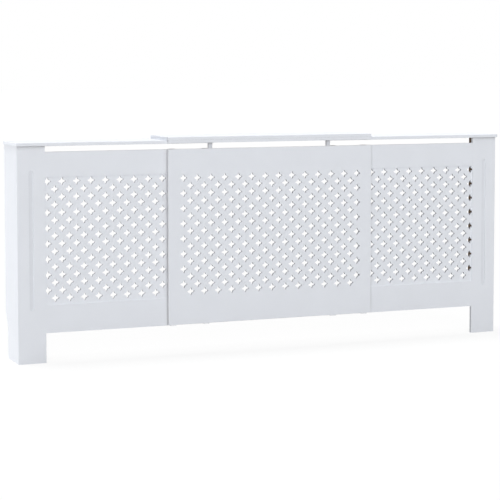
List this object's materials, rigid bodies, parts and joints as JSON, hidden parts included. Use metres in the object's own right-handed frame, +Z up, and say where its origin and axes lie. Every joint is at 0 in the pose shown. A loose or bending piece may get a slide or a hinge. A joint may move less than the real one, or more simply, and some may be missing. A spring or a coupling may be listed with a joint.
{
  "type": "radiator cover cabinet",
  "caption": "White radiator cover cabinet with a star-perforated front, whose wings slide in behind a raised centre panel and under its shelf.",
  "frame": {"origin": "on the floor, under the middle of the fully extended cover", "axes": "+X along the cover to its right end as seen from the room, +Y to the wall, +Z up"},
  "size_m": [2, 0.2, 0.82],
  "materials": {
    "white_paint": "satin",
    "bare_timber": "matte",
    "zinc_steel": "satin"
  },
  "bodies": {
    "centre": {"centre_panel": "white_paint", "centre_shelf": "white_paint", "shelf_lip": "white_paint", "upper_guide": "bare_timber", "lower_guide": "bare_timber", "left_outer_top_clip": "zinc_steel", "left_outer_bottom_clip": "zinc_steel", "left_inner_top_clip": "zinc_steel", "left_inner_bottom_clip": "zinc_steel", "right_outer_top_clip": "zinc_steel", "right_outer_bottom_clip": "zinc_steel", "right_inner_top_clip": "zinc_steel", "right_inner_bottom_clip": "zinc_steel"},
    "left_wing": {"left_post": "white_paint", "left_side_panel": "white_paint", "left_top_rail": "white_paint", "left_bottom_rail": "white_paint", "left_inner_stile": "white_paint", "left_grille": "white_paint", "left_shelf": "white_paint", "left_shelf_prop": "white_paint", "left_corner_batten": "bare_timber", "left_shelf_batten": "bare_timber", "left_wall_bracket": "zinc_steel", "left_upper_rail_peg": "bare_timber", "left_lower_rail_peg": "bare_timber", "left_upper_foot_rail_peg": "bare_timber", "left_lower_foot_rail_peg": "bare_timber", "left_upper_corner_peg": "bare_timber", "left_lower_corner_peg": "bare_timber"},
    "right_wing": {"right_post": "white_paint", "right_side_panel": "white_paint", "right_top_rail": "white_paint", "right_bottom_rail": "white_paint", "right_inner_stile": "white_paint", "right_grille": "white_paint", "right_shelf": "white_paint", "right_shelf_prop": "white_paint", "right_corner_batten": "bare_timber", "right_shelf_batten": "bare_timber", "right_wall_bracket": "zinc_steel", "right_upper_rail_peg": "bare_timber", "right_lower_rail_peg": "bare_timber", "right_upper_foot_rail_peg": "bare_timber", "right_lower_foot_rail_peg": "bare_timber", "right_upper_corner_peg": "bare_timber", "right_lower_corner_peg": "bare_timber"}
  },
  "joints": [
    {"name": "left_wing_slide", "type": "slide", "parent": "centre", "child": "left_wing", "axis": [1, 0, 0], "range_m": [0, 0.235]},
    {"name": "right_wing_slide", "type": "slide", "parent": "centre", "child": "right_wing", "axis": [-1, 0, 0], "range_m": [0, 0.235]}
  ]
}
